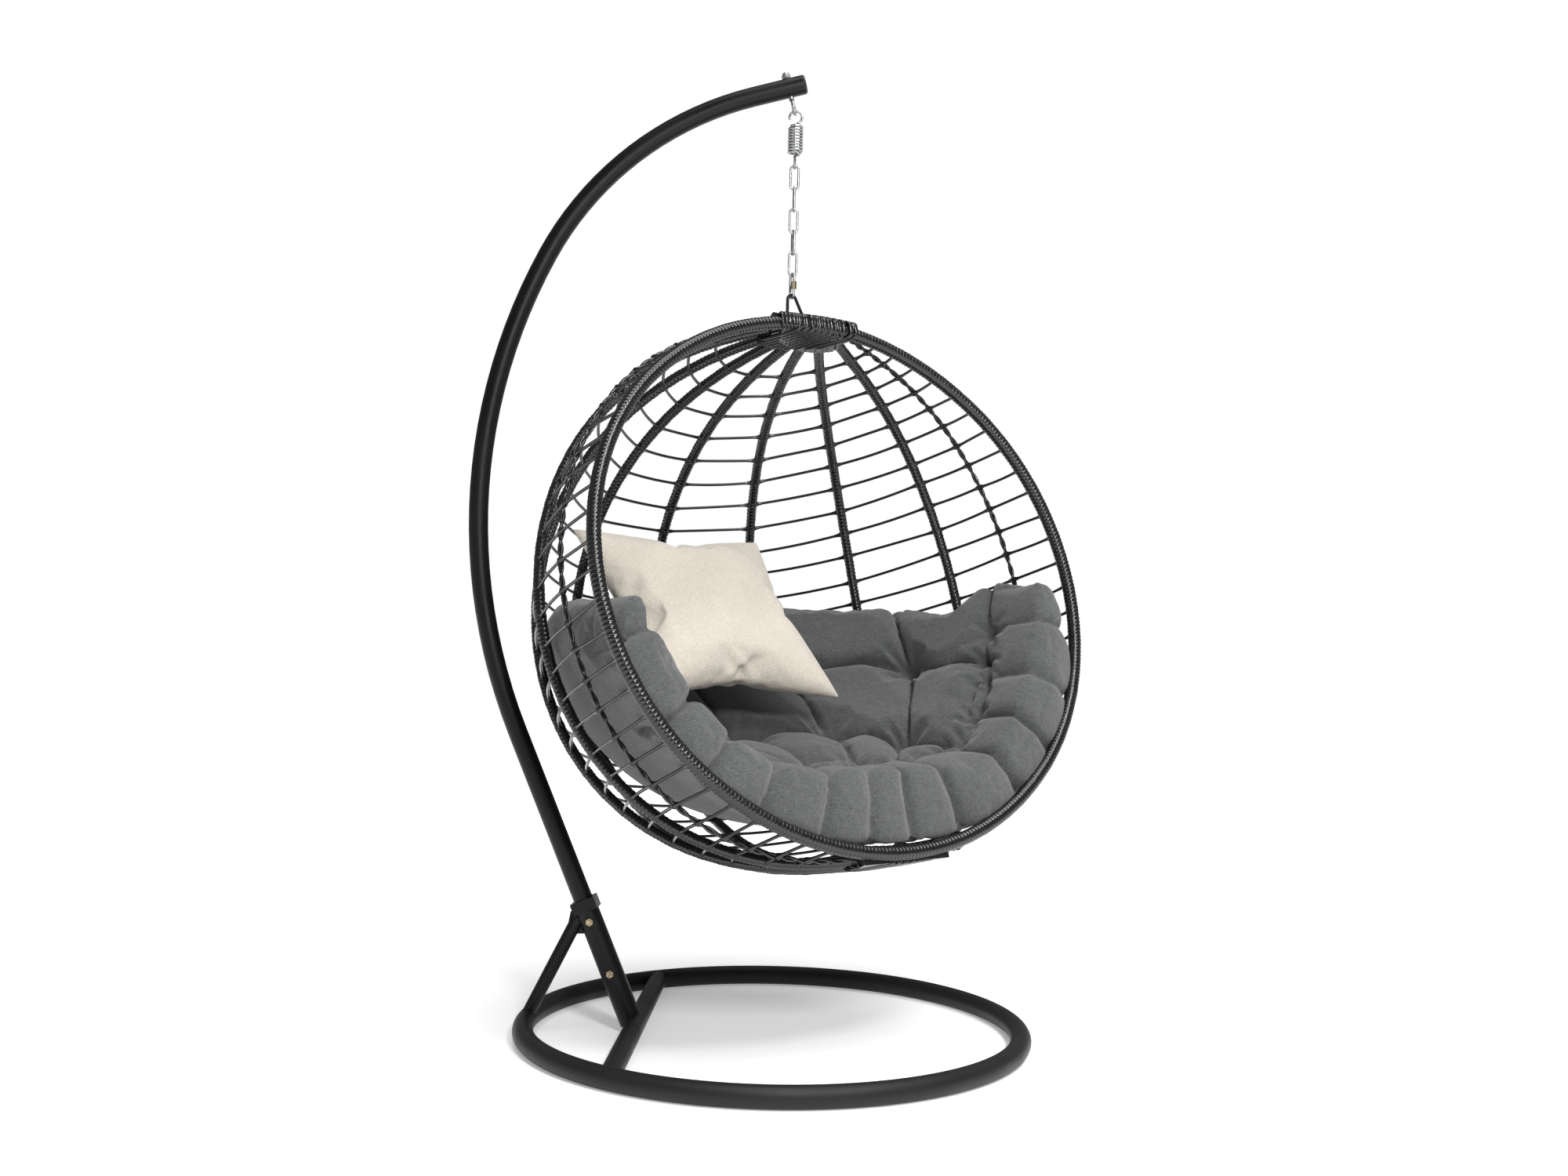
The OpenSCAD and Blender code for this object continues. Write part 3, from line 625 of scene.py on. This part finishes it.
def pad(name, verts, faces):
    """A mesh object of faces with any number of corners."""
    mesh = bpy.data.meshes.new(name)
    mesh.from_pydata([tuple(v) for v in verts], [], faces)
    mesh.update()
    obj = bpy.data.objects.new(name, mesh)
    bpy.context.scene.collection.objects.link(obj)
    return obj


def cushion_blank(n_f=72, n_s=30):
    """The cushion's plain closed form, before its tufts."""
    verts, faces = [], []
    for top in (True, False):
        for i in range(n_f + 1):
            f = math.pi * i / n_f
            for j in range(1, n_s + 1):
                s = j / n_s
                x = edge_r(f) * s * math.cos(f)
                y = CUSHION_FRONT + edge_r(f) * s * math.sin(f)
                z = cushion_top(s, x, y) if top else cushion_under(s, x, y)
                verts.append((x, y, z))
    centre = len(verts)
    verts += [(0, CUSHION_FRONT, cushion_top(0, 0, CUSHION_FRONT))]
    verts += [(0, CUSHION_FRONT, cushion_under(0, 0, CUSHION_FRONT))]
    layer = (n_f + 1) * n_s

    def at(i, j, low):
        return centre + low if j == 0 else low * layer + i * n_s + j - 1

    for i in range(n_f):
        for j in range(n_s):
            for low in (0, 1):
                q = [at(i, j, low), at(i, j + 1, low), at(i + 1, j + 1, low), at(i + 1, j, low)]
                q = list(dict.fromkeys(q))
                faces.append(q[::-1] if low else q)
        faces.append([at(i, n_s, 0), at(i, n_s, 1), at(i + 1, n_s, 1), at(i + 1, n_s, 0)])
    for i in (0, n_f):
        for j in range(n_s):
            q = [at(i, j, 0), at(i, j, 1), at(i, j + 1, 1), at(i, j + 1, 0)]
            faces.append(q if i == 0 else q[::-1])
    return pad("seat_cushion_pad", verts, faces)


def apply_modifiers(obj):
    """Replaces the object's mesh by its evaluated one."""
    graph = bpy.context.evaluated_depsgraph_get()
    mesh = bpy.data.meshes.new_from_object(obj.evaluated_get(graph))
    obj.modifiers.clear()
    obj.data = mesh


def coordinates(obj):
    co = np.zeros(len(obj.data.vertices) * 3, np.float32)
    obj.data.vertices.foreach_get("co", co)
    return co.reshape(-1, 3).astype(float)


def normals(obj):
    no = np.zeros(len(obj.data.vertices) * 3, np.float32)
    obj.data.vertices.foreach_get("normal", no)
    return no.reshape(-1, 3).astype(float)


def set_coordinates(obj, co):
    obj.data.vertices.foreach_set("co", np.asarray(co, np.float32).ravel())
    obj.data.update()


def remesh(obj, size, smooth=4):
    """Rebuilds the mesh as even quads, with its corners rounded."""
    mod = obj.modifiers.new("remesh", "REMESH")
    mod.mode = "VOXEL"
    mod.voxel_size = size
    mod = obj.modifiers.new("round", "SMOOTH")
    mod.iterations = smooth
    apply_modifiers(obj)


def tuft_fields(co, no):
    """How deep each vertex is drawn in, how far it is held, and the gathers round each tuft."""
    x, y, z = co.T
    f = np.arctan2(y - CUSHION_FRONT, x)
    r = np.hypot(x, y - CUSHION_FRONT)
    angles = np.linspace(0, math.pi, 91)
    edge = np.interp(np.clip(f, 0, math.pi), angles, [edge_r(a) for a in angles])
    s = r / edge
    world_up = np.array([0, -math.sin(TILT), math.cos(TILT)])
    inward = np.stack([-x, -(y - 0.3), np.zeros(len(x))], 1) / 0.6
    upper = (no @ world_up > 0.05) | (np.sum(no * inward, 1) > 0.25)
    seat = upper & (y > CUSHION_FRONT + 0.01)

    # the seat's tufts, at the crossings of wavy rings and columns
    columns = np.radians(TUFT_COLUMNS)
    gaps = f[:, None] - columns[None]
    nearest = np.abs(gaps).argmin(1)
    across = (gaps[np.arange(len(f)), nearest] + 0.05 * np.sin(8 * s + 2 * nearest)) * r
    steep = 1 + 5.0 * np.clip(s - 0.55, 0, 1)
    draw, hold, gather = np.zeros((3, len(x)))
    for number, ring in enumerate(TUFT_RINGS):
        along = (s - ring - 0.018 * np.sin(5 * f + 2 * number)) * edge * steep
        at_tuft = np.hypot(across, along)
        draw = np.maximum(draw, TUFT_DEPTH * np.exp(-((at_tuft / TUFT_SPREAD) ** 1.3)))
        draw = np.maximum(draw, CREASE_DEPTH * np.exp(-np.abs(along) / RING_CREASE_SPREAD) * (s > 0.2))
        hold = np.maximum(hold, np.exp(-((at_tuft / TUFT_HELD) ** 2)))
        folds = np.cos(9 * np.arctan2(along, across) + nearest + number)
        gather += GATHER * folds * np.exp(-(((at_tuft - GATHER_AT) / GATHER_SPREAD) ** 2))
    top_edge = np.clip((0.95 - s) / 0.15, 0, 1)
    column = CREASE_DEPTH * np.exp(-np.abs(across) / COLUMN_CREASE_SPREAD) * (s > 0.25)
    draw = np.maximum(draw, column * (0.4 + 0.6 * top_edge))
    inner = seat * np.clip((y - CUSHION_FRONT - 0.07) / 0.06, 0, 1)
    draw *= inner
    gather *= inner
    hold *= seat * (y > CUSHION_FRONT + 0.09)

    # the roll along the front: uneven pleats square to the edge, and a crease behind them
    turn = np.degrees(np.arctan2(-(z - PLEAT_CENTRE_Z), x))
    turn = turn + 2.4 * np.sin(turn / 17) + 1.5 * np.sin(turn / 7.3)
    pitch = 180 / PLEATS
    to_pleat = np.radians(((turn / pitch) % 1 - 0.5) * pitch) * np.hypot(x, z - PLEAT_CENTRE_Z)
    low = np.clip((0.02 - z) / 0.10, 0, 1)
    roll = np.clip((ROLL_DEPTH + 0.02 - y) / 0.03, 0, 1) * upper_front(no, y) * (0.25 + 0.75 * low)
    uneven = 0.75 + 0.25 * np.sin(turn * 0.9)
    pleat = PLEAT_DEPTH * uneven * np.exp(-np.abs(to_pleat) / PLEAT_SPREAD) * roll
    behind = y - ROLL_DEPTH - 0.012 * np.sin(turn / 9)
    crease = ROLL_CREASE_DEPTH * np.exp(-(np.abs(behind / ROLL_CREASE_SPREAD) ** 1.3)) * seat
    crease *= np.clip((0.9 - s) / 0.2, 0, 1)
    draw = np.maximum(draw, np.maximum(pleat, crease))
    at_knot = np.hypot(to_pleat, behind)
    knot = np.exp(-((at_knot / KNOT_SPREAD) ** 2)) * seat * low
    draw = np.maximum(draw, KNOT_DEPTH * knot)
    hold = np.maximum(hold, knot)
    folds = np.cos(7 * np.arctan2(behind, to_pleat))
    gather += GATHER * folds * np.exp(-(((at_knot - KNOT_GATHER_AT) / GATHER_SPREAD) ** 2)) * seat * low

    # the seam along the outer side of the roll
    outline = np.hypot(x / RIM_W, z / RIM_H)
    front = np.clip((CUSHION_FRONT + 0.012 - y) / 0.01, 0, 1)
    draw = np.maximum(draw, SEAM_DEPTH * np.exp(-(((outline - SEAM_AT) / SEAM_SPREAD) ** 2)) * front)

    under = ~upper & (y > CUSHION_FRONT + 0.03)
    hold = np.where(under, 1.0, hold)
    return draw, hold, gather


def upper_front(no, y):
    """One on the front face and on top, nought on the underside."""
    return np.where((no[:, 2] > -0.55) | (y < CUSHION_FRONT + 0.02), 1.0, 0.0)


def inflate(obj, hold, pressure, cap, frames=20, shrink=-0.04, stiffness=12):
    """Blows the cloth up between the points that are held, and limits how far it moves."""
    rest = coordinates(obj)
    group = obj.vertex_groups.new(name="held")
    for level in (0.25, 0.5, 0.75, 1.0):
        picked = np.nonzero((hold > level - 0.125) & (hold <= level + 0.125))[0]
        group.add(picked.tolist(), level, "REPLACE")
    cloth = obj.modifiers.new("cloth", "CLOTH")
    settings = cloth.settings
    settings.quality = 5
    settings.mass = 0.25
    settings.tension_stiffness = stiffness
    settings.compression_stiffness = stiffness
    settings.shear_stiffness = stiffness / 2
    settings.bending_stiffness = 0.6
    settings.use_pressure = True
    settings.uniform_pressure_force = pressure
    settings.vertex_group_mass = "held"
    settings.pin_stiffness = 1.0
    settings.shrink_min = shrink
    settings.effector_weights.gravity = 0
    scene = bpy.context.scene
    for number in range(1, frames + 1):
        scene.frame_set(number)
    apply_modifiers(obj)
    scene.frame_set(1)
    moved = coordinates(obj) - rest
    size = np.linalg.norm(moved, axis=1, keepdims=True)
    set_coordinates(obj, rest + moved * np.minimum(1, cap / np.maximum(size, 1e-9)))


def soften(obj, levels=1):
    mod = obj.modifiers.new("smooth", "SUBSURF")
    mod.levels = levels
    mod.render_levels = levels
    apply_modifiers(obj)
    obj.data.polygons.foreach_set("use_smooth", np.ones(len(obj.data.polygons), bool))


def cover(obj, fabric, node):
    """Gives a soft piece its fabric, and says that it stands for the node."""
    obj.data.materials.clear()
    obj.data.materials.append(MATERIALS[fabric])
    declare(obj, "basket", [node])


CUSHION_VOXEL = 0.0075


def seat_cushion():
    """The tufted seat cushion: its blank, its tufts, and the cloth between them."""
    obj = cushion_blank()
    remesh(obj, CUSHION_VOXEL, 5)
    co, no = coordinates(obj), normals(obj)
    draw, hold, gather = tuft_fields(co, no)
    set_coordinates(obj, co - draw[:, None] * no)
    inflate(obj, hold, 4.0, 0.026, 18, -0.06)
    set_coordinates(obj, coordinates(obj) + gather[:, None] * normals(obj))
    soften(obj)
    set_coordinates(obj, in_basket(coordinates(obj)))
    cover(obj, "cushion_fabric", "seat_cushion")
    return obj


PILLOW_SIDE = 0.470
PILLOW_THICK = 0.120
PILLOW_START = 0.03
PILLOW_PLACE = (
    Matrix.Translation((0.140, 0.160, 0.826))
    @ Matrix.Rotation(math.radians(-53.0), 4, "Z")
    @ Matrix.Rotation(math.radians(90 - 43.5), 4, "X")
)


def pillow_blank(n=44):
    """Two square panels sewn along their edges."""
    u = np.linspace(-1, 1, n + 1)
    gu, gv = np.meshgrid(u, u, indexing="ij")
    edge = (np.abs(gu) == 1) | (np.abs(gv) == 1)
    puff = ((1 - gu**2) * (1 - gv**2)) ** 0.45
    verts, ids = [], []
    for sign in (1, -1):
        layer = np.full(gu.shape, -1)
        for i in range(n + 1):
            for j in range(n + 1):
                if sign < 0 and edge[i, j]:
                    layer[i, j] = ids[0][i, j]
                    continue
                layer[i, j] = len(verts)
                half = PILLOW_SIDE / 2
                z = sign * PILLOW_START * puff[i, j]
                verts.append((half * gu[i, j], half * gv[i, j], z))
        ids.append(layer)
    faces = []
    for sign, layer in zip((1, -1), ids):
        for i in range(n):
            for j in range(n):
                q = [layer[i, j], layer[i + 1, j], layer[i + 1, j + 1], layer[i, j + 1]]
                faces.append(q if sign > 0 else q[::-1])
    return pad("pillow_pad", verts, [[int(a) for a in q] for q in faces])


def scatter_pillow():
    """The linen pillow: inflated from two panels, then laid on the back of the cushion."""
    obj = pillow_blank()
    inflate(obj, np.zeros(len(obj.data.vertices)), 6.0, 0.06, 24, 0.0, 15)
    co = coordinates(obj)
    co -= (co.max(0) + co.min(0)) / 2
    size = co.max(0) - co.min(0)
    co *= np.array([PILLOW_SIDE, PILLOW_SIDE, PILLOW_THICK]) / size
    set_coordinates(obj, co)
    soften(obj)
    m = np.array(PILLOW_PLACE)
    set_coordinates(obj, coordinates(obj) @ m[:3, :3].T + m[:3, 3])
    cover(obj, "pillow_fabric", "scatter_pillow")
    return obj


# ---------- studio ----------

AMBIENT = 0.22
FLOOR_GLOW = 0.3


def studio():
    """A pale floor, a sky seen as white but giving less light, a broad sun and two soft lights."""
    plain = Look("studio_floor", (0.96, 0.96, 0.96), 0.9, Emission_Strength=FLOOR_GLOW)
    plain.shader.inputs["Emission Color"].default_value = (1, 1, 1, 1)
    bpy.ops.mesh.primitive_plane_add(size=40, location=(6, 0, 0))
    floor = bpy.context.object
    floor.name = "floor"
    floor.data.materials.append(plain.material)
    bpy.context.scene.view_settings.view_transform = "Standard"
    world = bpy.data.worlds.new("studio")
    bpy.context.scene.world = world
    world.use_nodes = True
    tree = world.node_tree
    sky = tree.nodes["Background"]
    sky.inputs["Color"].default_value = (1, 1, 1, 1)
    sky.inputs["Strength"].default_value = AMBIENT
    backdrop = tree.nodes.new("ShaderNodeBackground")
    backdrop.inputs["Color"].default_value = (1, 1, 1, 1)
    seen = tree.nodes.new("ShaderNodeLightPath").outputs["Is Camera Ray"]
    both = tree.nodes.new("ShaderNodeMixShader")
    tree.links.new(seen, both.inputs[0])
    tree.links.new(sky.outputs[0], both.inputs[1])
    tree.links.new(backdrop.outputs[0], both.inputs[2])
    tree.links.new(both.outputs[0], tree.nodes["World Output"].inputs["Surface"])
    lights = (
        ("sky_light", "SUN", (-0.5, -0.6, 4.0), 2.4),
        ("key", "AREA", (-2.9, -0.9, 2.2), 60),
        ("fill", "AREA", (-2.2, -1.6, 3.4), 40),
    )
    for name, kind, place, power in lights:
        data = bpy.data.lights.new(name, kind)
        data.energy = power
        if kind == "SUN":
            data.angle = math.radians(50)
        else:
            data.size = 0.5
        light = bpy.data.objects.new(name, data)
        bpy.context.scene.collection.objects.link(light)
        light.location = place
        aim = Vector((0, 0, 0.9)) - Vector(place)
        light.rotation_euler = aim.to_track_quat("-Z", "Y").to_euler()


def camera():
    """The viewpoint: three metres out on the left, level with the basket's lower half."""
    data = bpy.data.cameras.new("camera")
    data.sensor_width = 36
    data.lens = 35.41
    cam = bpy.data.objects.new("camera", data)
    bpy.context.scene.collection.objects.link(cam)
    bpy.context.scene.camera = cam
    azimuth, rise, roll = math.radians(-88.548), math.radians(2.413), math.radians(1.304)
    ahead = Vector((-math.sin(azimuth) * math.cos(rise), math.cos(azimuth) * math.cos(rise), math.sin(rise)))
    right = ahead.cross(Vector((0, 0, 1))).normalized()
    up = right.cross(ahead)
    tilted = right * math.cos(roll) + up * math.sin(roll)
    upright = up * math.cos(roll) - right * math.sin(roll)
    turn = Matrix((tilted, upright, -ahead)).transposed().to_4x4()
    cam.matrix_world = Matrix.Translation((-3.0404, -0.0811, 0.7476)) @ turn


dress_cad()
rim_winding()
for number in range(1, len(RIB_ANGLES) + 1):
    rib_winding(number)
twined_cane(1, "side_cane_left")
twined_cane(-1, "side_cane_right")
for number in range(1, LAST_POST + 1):
    strands(number)
for number in range(1, LAST_POST):
    knots(number)
hub_binding(1, "hub_top", 0.0038, 0.004)
hub_binding(-1, "hub_bottom", 0.0016, 0.020)
seat_cushion()
scatter_pillow()
studio()
camera()
